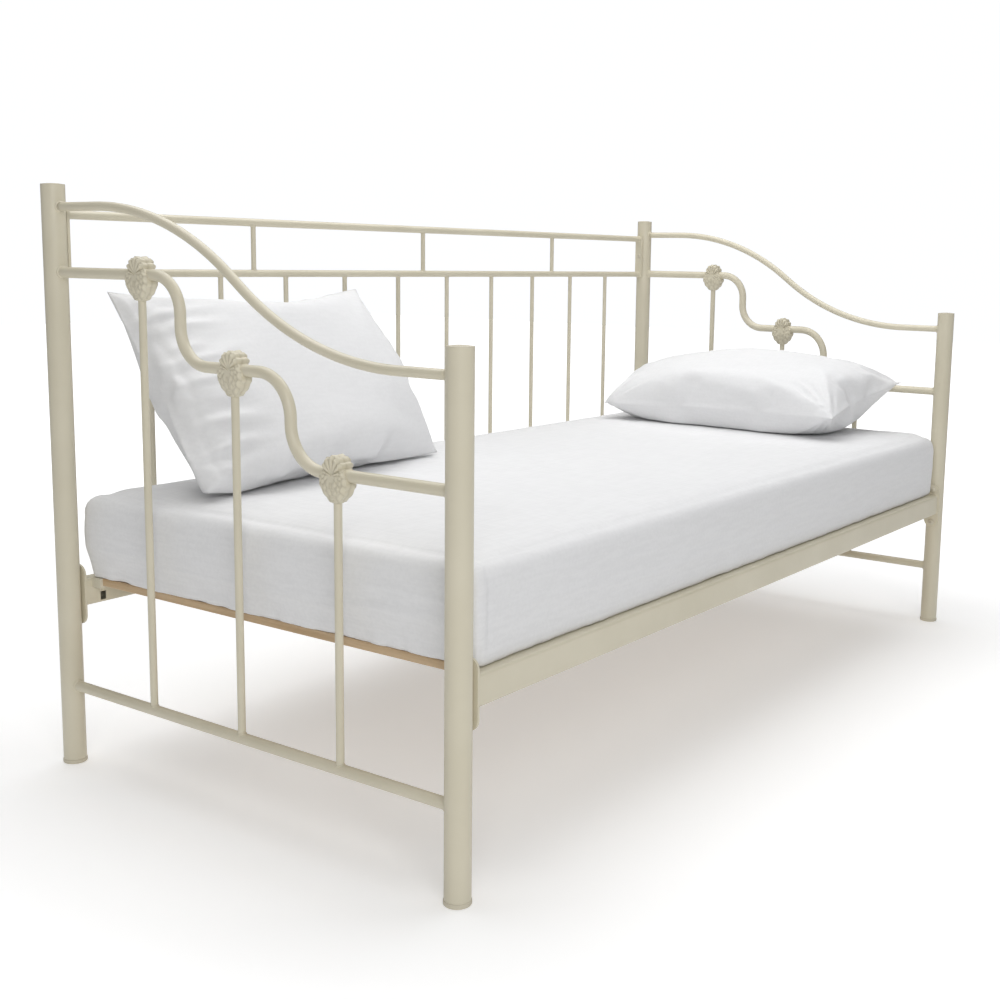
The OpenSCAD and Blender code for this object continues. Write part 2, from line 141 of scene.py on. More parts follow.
class Nodes:
    """Builds one node material, a line for each node."""

    def __init__(self, name):
        self.material = bpy.data.materials.new(name)
        self.material.use_nodes = True
        self.tree = self.material.node_tree
        self.shader = self.tree.nodes["Principled BSDF"]
        self.place = self.add("ShaderNodeTexCoord").outputs["Object"]

    def add(self, kind, inputs=None, **settings):
        """A new node. inputs gives each socket a number, a vector, or another node's output."""
        node = self.tree.nodes.new(kind)
        for key, value in settings.items():
            setattr(node, key, value)
        for key, value in (inputs or {}).items():
            if isinstance(value, bpy.types.NodeSocket):
                self.link(value, node.inputs[key])
            else:
                node.inputs[key].default_value = value
        return node

    def link(self, source, target):
        self.tree.links.new(source, target)

    def set(self, **values):
        for key, value in values.items():
            self.shader.inputs[key.replace("_", " ")].default_value = value

    def scaled(self, scale):
        return self.add("ShaderNodeMapping", {"Scale": scale, "Vector": self.place}).outputs["Vector"]

    def noise(self, scale, detail=2.0, rough=0.5, at=None):
        inputs = {"Scale": scale, "Detail": detail, "Roughness": rough, "Vector": at or self.place}
        return self.add("ShaderNodeTexNoise", inputs).outputs["Fac"]

    def wave(self, scale, direction, distortion=0.6):
        inputs = {"Scale": scale, "Distortion": distortion, "Vector": self.place}
        return self.add("ShaderNodeTexWave", inputs, bands_direction=direction).outputs["Fac"]

    def spread(self, value, low, high, start=0.0, end=1.0):
        """The value, mapped from start..end to low..high."""
        inputs = {"Value": value, "From Min": start, "From Max": end, "To Min": low, "To Max": high}
        return self.add("ShaderNodeMapRange", inputs).outputs["Result"]

    def combine(self, operation, a, b):
        return self.add("ShaderNodeMath", {0: a, 1: b}, operation=operation).outputs["Value"]

    def blend(self, share, a, b):
        """Colour a where the share is 0 and colour b where it is 1."""
        node = self.add("ShaderNodeMix", {"Factor": share}, data_type="RGBA")
        colours = [i for i in node.inputs if i.type == "RGBA"]
        for socket, value in zip(colours, (a, b)):
            if isinstance(value, tuple):
                socket.default_value = (*value, 1)
            else:
                self.link(value, socket)
        return [o for o in node.outputs if o.type == "RGBA"][0]

    def bump(self, height, distance, strength=1.0, after=None):
        inputs = {"Strength": strength, "Distance": distance, "Height": height}
        if after:
            inputs["Normal"] = after
        return self.add("ShaderNodeBump", inputs).outputs["Normal"]

    def finish(self, colour, rough, normal=None):
        for source, key in ((colour, "Base Color"), (rough, "Roughness"), (normal, "Normal")):
            if source:
                self.link(source, self.shader.inputs[key])
        return self.material


def floor_material():
    n = Nodes("pale_floor")
    n.set(Specular_IOR_Level=0.2, Emission_Color=(1, 1, 1, 1))
    far = n.add("ShaderNodeVectorMath", {0: n.place}, operation="LENGTH")
    seen = n.add("ShaderNodeLightPath").outputs["Is Camera Ray"]
    fade = n.combine("MULTIPLY", seen, n.spread(far.outputs["Value"], 0.12, 1, 1.3, 3.6))
    n.link(n.spread(fade, 0.2, 1.05), n.shader.inputs["Emission Strength"])   # pales into the surround
    tone = n.blend(n.noise(3, 3), (0.86, 0.86, 0.86), (0.89, 0.89, 0.89))
    return n.finish(tone, n.spread(n.noise(40), 0.7, 0.9))


def powder_coat(name, light, dark, rough=0.36, painted_groove_shade=False):
    """Sprayed powder coat: a faint orange peel, soft gloss, and a slight drift in tone. It can also darken
    towards brown where the mesh marks grooves: painted shade.
    """
    n = Nodes(name)
    n.set(Coat_Weight=0.15, Coat_Roughness=0.25, Specular_IOR_Level=0.45)
    tone = n.blend(n.spread(n.noise(7, 4), 0, 1, 0.35, 0.65), light, dark)
    if painted_groove_shade:
        # painted shade: a point attribute from the mesh darkens the grooves towards a dark brown
        depth = n.add("ShaderNodeAttribute", attribute_name="painted_groove_shade").outputs["Fac"]
        tone = n.blend(depth, tone, (0.36, 0.31, 0.20))
    speck = n.spread(n.noise(2600, 1), 0, 1, 0.62, 0.72)
    tone = n.blend(n.combine("MULTIPLY", speck, 0.12), tone, (0.45, 0.40, 0.29))
    peel = n.bump(n.noise(700, 1), 0.00005, 0.3)
    uneven = n.bump(n.noise(45, 2), 0.0005, 0.2, after=peel)
    gloss = n.spread(n.noise(180, 3), rough - 0.05, rough + 0.07)
    return n.finish(tone, gloss, uneven)


def moulded_plastic(name, light, dark, rough):
    """Injection-moulded plastic with a fine spark-eroded grain."""
    n = Nodes(name)
    n.set(Specular_IOR_Level=0.4)
    tone = n.blend(n.noise(25, 3), light, dark)
    grain = n.bump(n.noise(1500, 1), 0.00015, 0.6)
    return n.finish(tone, n.spread(n.noise(90, 2), rough - 0.05, rough + 0.05), grain)


def zinc_plate(name):
    n = Nodes(name)
    n.set(Metallic=1.0)
    tone = n.blend(n.noise(220, 4), (0.55, 0.55, 0.53), (0.40, 0.40, 0.39))
    return n.finish(tone, n.spread(n.noise(500, 3), 0.3, 0.5), n.bump(n.noise(900, 2), 0.0001, 0.5))


def slat_wood(name):
    """Planed pine: long grain along each slat, growth rings and a few darker streaks."""
    n = Nodes(name)
    n.set(Specular_IOR_Level=0.25)
    along = n.scaled((1, 0.045, 1))
    rings = n.noise(95, 5, 0.6, at=along)
    streak = n.spread(n.noise(22, 3, 0.5, at=along), 0, 1, 0.45, 0.7)
    fibre = n.noise(900, 3, 0.6, at=n.scaled((1, 0.02, 1)))
    pale = n.blend(n.spread(rings, 0, 1, 0.35, 0.68), (0.62, 0.46, 0.29), (0.46, 0.31, 0.17))
    tone = n.blend(n.combine("MULTIPLY", streak, 0.5), pale, (0.36, 0.22, 0.11))
    tone = n.blend(n.combine("MULTIPLY", fibre, 0.22), tone, (0.70, 0.55, 0.37))
    height = n.combine("ADD", fibre, n.combine("MULTIPLY", rings, 0.6))
    return n.finish(tone, n.spread(fibre, 0.5, 0.75), n.bump(height, 0.00025, 0.7))


def woven(name, light, dark, thread, slub=0.35, sheen=0.12):
    """Plain-weave cotton. thread is the distance between threads, in metres."""
    n = Nodes(name)
    n.set(Specular_IOR_Level=0.15, Sheen_Weight=sheen, Sheen_Roughness=0.5)
    bands = 0.314 / thread       # the wave texture's scale for one band to each thread
    weave = n.combine("ADD", n.wave(bands, "X"), n.wave(bands, "Y"))
    weave = n.combine("ADD", weave, n.wave(bands, "Z"))
    slubs = n.combine("ADD", *(n.noise(160, 2, at=n.scaled(way)) for way in ((0.12, 1, 1), (1, 0.12, 1))))
    tone = n.blend(n.spread(slubs, 0, 1, 0.8, 1.2), light, dark)
    tone = n.blend(n.combine("MULTIPLY", n.noise(5, 3), 0.35), tone, tuple(0.985 * c for c in dark))
    fine = n.bump(weave, 0.00012, 0.35)
    soft = n.bump(slubs, 0.0005, slub, after=fine)
    crumple = n.bump(n.noise(26, 4, 0.55), 0.0022, 0.22, after=soft)
    return n.finish(tone, n.spread(weave, 0.82, 0.95, 0, 3), crumple)


def slot_of(material):
    """The slot a material is for: its name, without the number that Blender adds to a second one."""
    return material.name.split(".")[0]


def add_materials():
    cream, cream_dark = (0.70, 0.65, 0.51), (0.66, 0.61, 0.47)
    made = (
        powder_coat("frame_paint", cream, cream_dark),
        powder_coat("casting_paint", cream, cream_dark, 0.42, painted_groove_shade=True),
        powder_coat("bolt_paint", (0.66, 0.61, 0.49), (0.60, 0.55, 0.43), 0.4),
        moulded_plastic("plug_plastic", (0.66, 0.61, 0.48), (0.62, 0.57, 0.45), 0.5),
        moulded_plastic("holder_plastic", (0.70, 0.66, 0.54), (0.66, 0.62, 0.50), 0.55),
        zinc_plate("zinc_steel"),
        slat_wood("slat_wood"),
        woven("mattress_ticking", (0.80, 0.79, 0.76), (0.70, 0.69, 0.66), 0.0012),
        woven("sheet_cotton", (0.86, 0.86, 0.865), (0.82, 0.82, 0.825), 0.0008),
        woven("pillow_cotton", (0.865, 0.865, 0.87), (0.835, 0.835, 0.84), 0.0007, 0.25),
    )
    return {slot_of(material): material for material in made}


# ---------- mesh helpers ----------

def new_piece(name, mesh, slot, body, *replaced):
    """Puts a mesh in the scene as a piece that rides on a body and stands for CAD nodes."""
    piece = bpy.data.objects.new(name, mesh)
    bpy.context.scene.collection.objects.link(piece)
    mesh.materials.clear()
    mesh.materials.append(MATERIALS[slot])
    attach(piece, body)
    if replaced:
        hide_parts(*replaced)
    return piece


def smooth(mesh):
    mesh.polygons.foreach_set("use_smooth", [True] * len(mesh.polygons))
    mesh.update()


def coords(mesh, kind="co"):
    """Each vertex's place, or its normal when kind is "normal"."""
    flat = np.zeros(len(mesh.vertices) * 3)
    mesh.vertices.foreach_get(kind, flat)
    return flat.reshape(-1, 3)


def set_coords(mesh, points):
    mesh.vertices.foreach_set("co", np.asarray(points, float).ravel())
    mesh.update()


def mesh_from(name, points, faces):
    mesh = bpy.data.meshes.new(name)
    mesh.from_pydata([tuple(p) for p in points], [], faces)
    mesh.validate()
    smooth(mesh)
    return mesh


def facing_out(mesh):
    """Turns every face of a closed mesh outward."""
    work = bmesh.new()
    work.from_mesh(mesh)
    bmesh.ops.recalc_face_normals(work, faces=work.faces)
    work.to_mesh(mesh)
    work.free()
    return mesh


def circle(steps, radius):
    """Even points round a circle, as cosine and sine parts."""
    turns = [2 * math.pi * i / steps for i in range(steps)]
    return [(radius * math.cos(turn), radius * math.sin(turn)) for turn in turns]


def ring_quads(rows, count, base=0, closed=False):
    """Quads from each ring of count points to the next, and from the last to the first if closed."""
    faces = []
    for r in range(rows if closed else rows - 1):
        a, b = base + r * count, base + (r + 1) % rows * count
        faces += [(a + i, a + (i + 1) % count, b + (i + 1) % count, b + i) for i in range(count)]
    return faces


def noise_at(points, scale, seed):
    """Smooth noise from -1 to 1 at each point. scale is one number, or one for each axis."""
    shift = np.array((seed * 7.31, seed * 3.17, seed * 5.73))
    spots = (points * np.broadcast_to(scale, 3) + shift).reshape(-1, 3)
    return np.array([noise.noise(Vector(p)) for p in spots]).reshape(points.shape[:-1])


def smoothstep(value, start, end):
    t = np.clip((value - start) / (end - start), 0, 1)
    return t * t * (3 - 2 * t)


# ---------- weld beads ----------

END_BEAD, SPINDLE_BEAD, BACK_BEAD, BAR_BEAD, SIDE_BEAD = (r * MM for r in (2.4, 1.7, 1.3, 1.8, 2.0))


def saddle_loop(hub, along, post_axis, tube_r, post_r, steps=48):
    """The closed line where a tube that leaves a post along 'along' meets the post's round wall."""
    along, post_axis = Vector(along), Vector(post_axis)
    across = along.cross(post_axis)
    loop = []
    for side, up in circle(steps, tube_r):
        reach = math.sqrt(max(post_r ** 2 - side ** 2, 0))
        loop.append(Vector(hub) + along * reach + across * side + post_axis * up)
    return loop


def flat_loop(hub, width, height, corner, steps):
    """The outline of a rounded tube that runs along x and ends on a flat face at hub."""
    loop = []
    for qy, qz, start in ((1, 1, 0), (-1, 1, 90), (-1, -1, 180), (1, -1, 270)):
        for i in range(steps + 1):
            turn = math.radians(start + 90 * i / steps)
            y = qy * (width / 2 - corner) + corner * math.cos(turn)
            z = qz * (height / 2 - corner) + corner * math.sin(turn)
            loop.append(Vector(hub) + Vector((0, y, z)))
    return loop


def add_welds(place, loops, sides=10):
    """Sweeps a lumpy weld bead round each closed loop. loops holds (points, bead radius)."""
    points, faces = [], []
    for loop, radius in loops:
        count, base = len(loop), len(points)
        middle = sum(loop, Vector()) / count
        for i, p in enumerate(loop):
            tangent = (loop[(i + 1) % count] - loop[i - 1]).normalized()
            outward = p - middle
            outward = (outward - tangent * outward.dot(tangent)).normalized()
            side = tangent.cross(outward)
            ripple = 1 + 0.16 * noise.noise(p * 420) + 0.10 * noise.noise(p * 1100)
            points += [p + (outward * c + side * s) * radius * ripple for c, s in circle(sides, 1)]
        faces += ring_quads(count, sides, base, closed=True)
    new_piece(f"welds_{place}", mesh_from("welds", points, faces), "frame_paint", "frame")


def rail_ends(node, end):
    """For each post: its centre where the rail meets it, the way to the rail, and the rail's radius."""
    low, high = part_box(node)
    radius = (high.x - low.x) / 2
    levels = {"back": high.z - radius, "front": low.z + radius}
    for side in SIDES:
        post = POST[side, end]
        yield Vector((post.x, post.y, levels[side])), (0, 1 if side == "front" else -1, 0), radius


def add_end_welds(end):
    loops = []
    for rail in ("end_top_rail", "end_scroll_rail", "end_bottom_rail"):
        for hub, along, radius in rail_ends(f"{rail}_{end}", end):
            loops.append((saddle_loop(hub, along, (0, 0, 1), radius, POST_R), END_BEAD))
    rail = f"end_bottom_rail_{end}"
    bottom, rail_r = centre_of(rail), radius_of(rail, 0)
    for k in LEVELS:
        spindle = f"end_spindle_{end}_{k}"
        hub = Vector((bottom.x, centre_of(spindle).y, bottom.z))
        loops.append((saddle_loop(hub, (0, 0, 1), (0, 1, 0), radius_of(spindle, 0), rail_r), SPINDLE_BEAD))
    add_welds(f"end_{end}", loops)


def add_back_welds():
    rails = {level: (centre_of(f"back_{level}_rail"), radius_of(f"back_{level}_rail", 2))
             for level in ("top", "middle", "bottom")}
    joints = [(f"back_upright_{u}", "middle", "top") for u in ("left", "middle", "right")]
    joints += [(f"back_spindle_{i}", "bottom", "middle") for i in range(1, 11)]
    loops = []
    for rod, below, above in joints:
        x, radius = centre_of(rod).x, radius_of(rod, 0)
        for rail, way in ((below, 1), (above, -1)):
            centre, rail_r = rails[rail]
            hub = Vector((x, centre.y, centre.z))
            loops.append((saddle_loop(hub, (0, 0, way), (1, 0, 0), radius, rail_r, 32), BACK_BEAD))
    for end in ENDS:
        low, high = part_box(f"back_end_bar_{end}")
        face = high.x if end == "left" else low.x
        for rail in ("top", "middle"):
            centre, rail_r = rails[rail]
            hub = (face, centre.y, centre.z)
            loops.append((flat_loop(hub, 2 * rail_r, 2 * rail_r, rail_r, 8), BAR_BEAD))
    add_welds("back_panel", loops)


def add_side_rail_welds():
    corner = 5 * MM
    loops = []
    for side in SIDES:
        low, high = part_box(f"side_rail_{side}")
        for x in (low.x, high.x):
            hub = (x, (low.y + high.y) / 2, (low.z + high.z) / 2)
            loops.append((flat_loop(hub, high.y - low.y, high.z - low.z, corner, 6), SIDE_BEAD))
    add_welds("side_rails", loops)


# ---------- shell castings ----------

CAST_OUTLINE = ((0, 30), (24, 28.5), (44, 25.5), (60, 22), (72, 21.5), (92, 26.5), (115, 30.5),
                (138, 34.5), (154, 39), (166, 42), (180, 43))   # degrees from straight up, radius in mm
LOBE = 24                # degrees from one lobe of the shell to the next
FAN = 60                 # degrees: the fan ends and the body's scales begin
SCALE_ROWS = 4
CAST_EDGE = 2.5 * MM     # how far each face falls to the rim
CAST_HUB = 42 * MM       # from the casting's lowest point to the rail's centre


def lobe_at(turn, offset=0.0):
    """1 on the middle of a lobe and 0 in the groove between two."""
    return abs(math.cos(math.pi * (turn / LOBE + offset)))


def casting_radius(turn):
    """Outline radius in metres at an angle from straight up, with its scallops."""
    angles, radii = zip(*CAST_OUTLINE)
    radius = np.interp(abs(turn), angles, radii)
    scallop = 2.6 if abs(turn) < FAN else 1.9
    return (radius + scallop * (lobe_at(turn) - 0.7)) * MM


def casting_face(turn, share):
    """The relief's height over the casting's flat face, in metres, and how much painted shade it gets in a
    groove.

    The heights worked out on the way are in mm."""
    if abs(turn) < FAN:                      # flutes that meet at the rail
        lobe = lobe_at(turn)
        height = 2.8 * lobe * smoothstep(share, 0.1, 0.6) + 1.2 * share
        groove_shade = (1 - lobe) ** 2 * smoothstep(share, 0.1, 0.4)
    else:                                    # a dome with rows of overlapping scales
        row = min(int(share * SCALE_ROWS), SCALE_ROWS - 1)
        local = share * SCALE_ROWS - row
        lobe = lobe_at(turn if row > 1 else turn / 1.8, 0.5 * (row % 2))
        fall = smoothstep(local, 0.75, 1.0) * (row < SCALE_ROWS - 1)
        scale = 1.7 * lobe * smoothstep(local, 0.0, 0.5) * (1 - fall) * (row > 0)
        height = 2.4 * (1 - share ** 2) + scale
        groove_shade = (0.8 * (1 - lobe) ** 2 + 0.7 * fall) * (row > 0)
        neck = smoothstep(abs(turn), FAN, FAN + 12)      # the valley between the fan and the body
        height, groove_shade = height * neck, groove_shade * neck + 0.8 * (1 - neck) * smoothstep(share, 0.1, 0.4)
    edge = smoothstep(share, 0.84, 1.0)
    return height * (1 - edge) * MM - CAST_EDGE * edge, float(min(groove_shade, 1)) * 0.5


def casting_thickness(height):
    """The casting tapers from its full thickness at the rail to the collar on the spindle."""
    return 1 - 0.3 * smoothstep(-height, 16 * MM, 40 * MM)


def casting_mesh(half_t):
    """One closed two-sided shell: a relief on each face and a scalloped rim with a parting groove."""
    steps, rings, rim = 192, 32, 7
    turns = [-180 + 360 * i / steps for i in range(steps)]
    outline = [casting_radius(t) for t in turns]
    # the painted shade of each point: darkest deep in the grooves of the relief and along the parting
    # groove
    points, painted_groove_shade = [], []

    def add_point(depth, reach, turn, groove_shade):
        a = math.radians(turn)
        points.append((depth, reach * math.sin(a), reach * math.cos(a)))
        painted_groove_shade.append(groove_shade)

    def add_face(side, shares):
        for share in shares:
            for turn, radius in zip(turns, outline):
                height, groove_shade = casting_face(turn, share)
                add_point(side * (half_t - CAST_EDGE + height), radius * share, turn, groove_shade)

    shares = [(r + 1) / rings for r in range(rings)]
    add_face(-1, shares)
    for k in range(1, rim + 1):
        across = -1 + 2 * k / (rim + 1)
        waist = 1 - 0.02 * (1 - across ** 2) - 0.025 * math.exp(-(across / 0.12) ** 2)
        # painted shade along the parting groove round the rim
        groove_shade = 0.35 * math.exp(-(across / 0.2) ** 2)
        for turn, radius in zip(turns, outline):
            add_point(across * (half_t - 4 * MM), radius * waist, turn, groove_shade)
    add_face(1, shares[::-1])
    count = len(points) // steps
    faces = ring_quads(count, steps)
    for side, start in ((-1, 0), (1, (count - 1) * steps)):
        points.append((side * (half_t - CAST_EDGE), 0, 0))
        painted_groove_shade.append(0.0)
        hub = len(points) - 1
        for i in range(steps):
            j = (i + 1) % steps
            faces.append((hub, start + j, start + i) if side < 0 else (hub, start + i, start + j))
    points = [(x * casting_thickness(z), y, z) for x, y, z in points]
    mesh = mesh_from("casting", points, faces)
    layer = mesh.attributes.new("painted_groove_shade", "FLOAT", "POINT")
    layer.data.foreach_set("value", painted_groove_shade)
    return facing_out(mesh)


def collar_mesh(spindle_r):
    """The turned collar under a casting, where it grips its spindle."""
    profile = ((0, 0), (3.2, 0.4), (4.6, 2.2), (4.2, 4.6), (2.6, 6.4), (3.4, 8.0), (3.2, 10.4), (0, 11.5))
    steps = 40
    points = []
    for out, up in profile:
        points += [(x, y, up * MM) for x, y in circle(steps, spindle_r - 0.4 * MM + out * MM)]
    return mesh_from("collar", points, ring_quads(len(profile), steps, closed=True))


def add_castings():
    for end in ENDS:
        for k in LEVELS:
            node = f"shell_casting_{end}_{k}"
            spindle = f"end_spindle_{end}_{k}"
            low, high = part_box(node)
            hub = Vector(((low.x + high.x) / 2, centre_of(spindle).y, low.z + CAST_HUB))
            shell = casting_mesh(radius_of(node, 0))
            shell.transform(Matrix.Translation(hub))
            new_piece(f"casting_{end}_{k}", shell, "casting_paint", "frame", node)
            collar = collar_mesh(radius_of(spindle, 0))
            collar.transform(Matrix.Translation((hub.x, hub.y, low.z - 1 * MM)))
            new_piece(f"casting_collar_{end}_{k}", collar, "frame_paint", "frame")


# ---------- end top rails ----------

TOP_RAIL_R = 8 * MM
TOP_RAIL_START = 124 * MM      # from the back post's centre to the first bend
TOP_BEND_R = 550 * MM
TOP_STRAIGHT = 30 * MM         # between the two bends
SLOPE = math.asin(0.6)


def top_rail_line(length, back_z):
    """The rail's centre line from back to front post: how far along, how high, and how steep it is."""
    def bend(middle_along, middle_up, sign, turns):
        reach = sign * TOP_BEND_R
        return [(middle_along + reach * math.sin(t), middle_up + reach * math.cos(t), t) for t in turns]

    turns = [SLOPE * i / 40 for i in range(41)]
    run = 2 * TOP_BEND_R * math.sin(SLOPE) + TOP_STRAIGHT * math.cos(SLOPE)
    drop = 2 * TOP_BEND_R * (1 - math.cos(SLOPE)) + TOP_STRAIGHT * math.sin(SLOPE)
    sunk = POST_R - 1 * MM
    line = [(sunk + (TOP_RAIL_START - sunk) * i / 10, back_z, 0) for i in range(10)]
    line += bend(TOP_RAIL_START, back_z - TOP_BEND_R, 1, turns)
    line += bend(TOP_RAIL_START + run, back_z - drop + TOP_BEND_R, -1, turns[::-1])
    last = line[-1][0]
    return line + [(last + (length - sunk - last) * i / 10, back_z - drop, 0) for i in range(1, 11)]


def add_end_top_rails():
    """The two S-bent rails as one even sweep each, so that light runs along them without a break."""
    steps = 40
    for end in ENDS:
        node = f"end_top_rail_{end}"
        back, front = POST["back", end], POST["front", end]
        line = top_rail_line(back.y - front.y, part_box(node)[1].z - TOP_RAIL_R)
        points = []
        for along, up, turn in line:
            points += [(back.x + side, back.y - along - out * math.sin(turn), up + out * math.cos(turn))
                       for out, side in circle(steps, TOP_RAIL_R)]
        faces = ring_quads(len(line), steps)
        faces += [tuple(range(steps)), tuple(range(len(points) - steps, len(points)))[::-1]]
        mesh = facing_out(mesh_from("top_rail", points, faces))
        new_piece(f"end_top_rail_tube_{end}", mesh, "frame_paint", "frame", node)


# ---------- soft goods ----------

def simulate(mesh, frames, stiffness, bending, volume=0.0, force=0.0):
    """Fills a closed cloth mesh with air, with no gravity, and returns the points it settles at."""
    scene = bpy.context.scene
    body = bpy.data.objects.new("simulated", mesh)
    scene.collection.objects.link(body)
    cloth = body.modifiers.new("cloth", "CLOTH")
    settings = dict(
        quality=6, mass=0.3, air_damping=4, tension_stiffness=stiffness, compression_stiffness=stiffness,
        shear_stiffness=stiffness / 6, bending_stiffness=bending, tension_damping=15,
        compression_damping=15, shear_damping=15, bending_damping=2, use_pressure=True,
        pressure_factor=4.0, uniform_pressure_force=force, use_pressure_volume=True, target_volume=volume)
    for key, value in settings.items():
        setattr(cloth.settings, key, value)
    cloth.settings.effector_weights.gravity = 0
    cloth.collision_settings.use_collision = False
    cloth.collision_settings.use_self_collision = False
    cloth.point_cache.frame_end = frames
    for f in range(1, frames + 1):
        scene.frame_set(f)
    evaluated = body.evaluated_get(bpy.context.evaluated_depsgraph_get())
    settled = coords(evaluated.to_mesh())
    bpy.data.objects.remove(body)
    scene.frame_set(1)
    return settled


def modified(mesh, kind, **settings):
    """A new mesh: the old one with one modifier applied."""
    body = bpy.data.objects.new("modified", mesh)
    bpy.context.scene.collection.objects.link(body)
    modifier = body.modifiers.new("modifier", kind)
    for key, value in settings.items():
        setattr(modifier, key, value)
    evaluated = body.evaluated_get(bpy.context.evaluated_depsgraph_get())
    result = bpy.data.meshes.new_from_object(evaluated)
    bpy.data.objects.remove(body)
    return result


def ridge(distance, width):
    """A soft crease across its line: a raised fold with a shallow valley beside it."""
    valley = np.exp(-((distance - 1.9 * width) / (1.5 * width)) ** 2)
    return np.exp(-(distance / width) ** 2) - 0.55 * valley


def crease_field(a, b, rng, count, lengths, widths, height, slope, a_range, b_range):
    """Creases that run along a, centred in a_range and b_range. Lengths are in a's unit, widths in b's."""
    total = np.zeros_like(a)
    for _ in range(count):
        a0, b0 = rng.uniform(*a_range), rng.uniform(*b_range)
        length, width = rng.uniform(*lengths), rng.uniform(*widths)
        tilt, bow = rng.uniform(-slope, slope), rng.uniform(-1, 1) * slope
        along = (a - a0) / (length / 2)
        middle = b0 + tilt * (a - a0) + 0.25 * bow * length * (along ** 2 - 0.5)
        taper = np.clip(1 - along ** 2, 0, 1) ** 1.5
        total += rng.uniform(0.5, 1) * height * taper * ridge(b - middle, width)
    return total


# ---------- mattress and fitted sheet ----------

SHEET_T = 0.8 * MM
SHEET_GAP = 1.1 * MM     # from the mattress to the sheet's outer face, before any folds
TOP_EDGE = 30 * MM
BOTTOM_EDGE = 8 * MM
END_SHARE, SIDE_SHARE = 0.6, 0.35    # of BOTTOM_EDGE: how far the base turns in at ends and sides
PLAN_CORNER = 16 * MM
HEM = 90 * MM
CROWN = 7 * MM           # how much lower than the CAD's top the mattress starts, before it fills
SWELL = 9 * MM           # the most that a point of the mattress moves as it fills


def quarter_ring(half_x, half_y, corner, steps):
    """A quarter of a rounded rectangle, from +x round to +y: points and outward directions in plan."""
    along_y, arc, along_x = steps
    flat_x, flat_y = half_x - corner, half_y - corner
    turns = [math.pi / 2 * i / arc for i in range(arc)]
    bend = [(math.cos(a), math.sin(a)) for a in turns]
    places = [(half_x, flat_y * i / along_y) for i in range(along_y)]
    places += [(flat_x + corner * x, flat_y + corner * y) for x, y in bend]
    places += [(flat_x * (1 - i / along_x), half_y) for i in range(along_x + 1)]
    ways = [(1, 0)] * along_y + bend + [(0, 1)] * (along_x + 1)
    return np.array(places), np.array(ways)


def full_ring(half_x, half_y, corner, steps):
    """The whole rounded rectangle. Point i and point n - i mirror each other across the x axis."""
    rings = []
    for part in quarter_ring(half_x, half_y, corner, steps):
        back = part[-2:0:-1]                              # the quarter backwards, without its two ends
        top = np.vstack([part, back * (-1, 1), part[:1] * (-1, 1)])
        rings.append(np.vstack([top, top[-2:0:-1] * (1, -1)]))
    return rings


def mattress_rings(side_step, cap_step, reach_under):
    """Rings from the middle of the top, over the edge, down the side and in under the mattress.

    Each is (inset along x, inset along y, height, how far outward and upward the surface faces)."""
    top, bottom = MATTRESS_HIGH.z - CROWN, MATTRESS_LOW.z + 0.2 * MM
    rings = []
    cap = HALF_Y - TOP_EDGE - 5 * MM
    count = round(cap / cap_step)
    for i in range(count):
        inset = TOP_EDGE + cap * (1 - i / count)
        rings.append((inset, inset, top, 0, 1))
    for i in range(9):
        a = math.pi / 2 * (1 - i / 8)
        inset = TOP_EDGE * (1 - math.cos(a))
        z = top - TOP_EDGE * (1 - math.sin(a))
        rings.append((inset, inset, z, math.cos(a), math.sin(a)))
    wall = top - TOP_EDGE - bottom - BOTTOM_EDGE
    count = round(wall / side_step)
    for i in range(1, count):
        rings.append((0, 0, top - TOP_EDGE - wall * i / count, 1, 0))
    for i in range(9):
        a = math.pi / 2 * i / 8
        inset = BOTTOM_EDGE * (1 - math.cos(a))
        z = bottom + BOTTOM_EDGE * (1 - math.sin(a))
        rings.append((inset * END_SHARE, inset * SIDE_SHARE, z, math.cos(a), -math.sin(a)))
    count = round((reach_under - BOTTOM_EDGE) / cap_step)
    for i in range(1, count + 1):
        inset = (reach_under - BOTTOM_EDGE) * i / count
        rings.append((inset + BOTTOM_EDGE * END_SHARE, inset + BOTTOM_EDGE * SIDE_SHARE, bottom, 0, -1))
    return rings


def lay_rings(rings, steps):
    """Points and surface directions of all rings, as arrays [ring, point along it, xyz]."""
    middle = centre_of("fitted_sheet")
    places, ways = [], []
    for inset_x, inset_y, z, out, up in rings:
        corner = min(PLAN_CORNER + 0.45 * inset_y, HALF_Y - inset_y - 1 * MM)
        plan, plan_way = full_ring(HALF_X - inset_x, HALF_Y - inset_y, corner, steps)
        level = np.full((len(plan), 1), z)
        places.append(np.hstack([plan + (middle.x, middle.y), level]))
        ways.append(np.hstack([plan_way * out, np.full((len(plan), 1), up)]))
    return np.array(places), np.array(ways)


def ring_faces(rows, count, close_end):
    """Quads between rings, and a strip of quads that closes the first ring, and the last if asked."""
    faces = []
    for r in range(rows - 1):
        a, b = r * count, (r + 1) * count
        for i in range(count):
            j = (i + 1) % count
            faces.append((a + i, b + i, b + j, a + j))
    half = count // 2

    def strip(base, flip):
        found = [(0, 1, count - 1), (half - 1, half, half + 1)]
        found += [(i, i + 1, count - i - 1, count - i) for i in range(1, half - 1)]
        return [tuple(base + i for i in (f[::-1] if flip else f)) for f in found]

    faces += strip(0, False)
    if close_end:
        faces += strip((rows - 1) * count, True)
    return faces


def quilt(points, pitch, depth):
    """How far a quilted face is drawn in along the stitch lines of a diamond pattern."""
    a = (points[:, 0] + points[:, 1]) / pitch
    b = (points[:, 0] - points[:, 1]) / pitch
    line = np.minimum(np.abs(a - np.round(a)), np.abs(b - np.round(b)))
    return depth * np.exp(-(line / 0.11) ** 2)


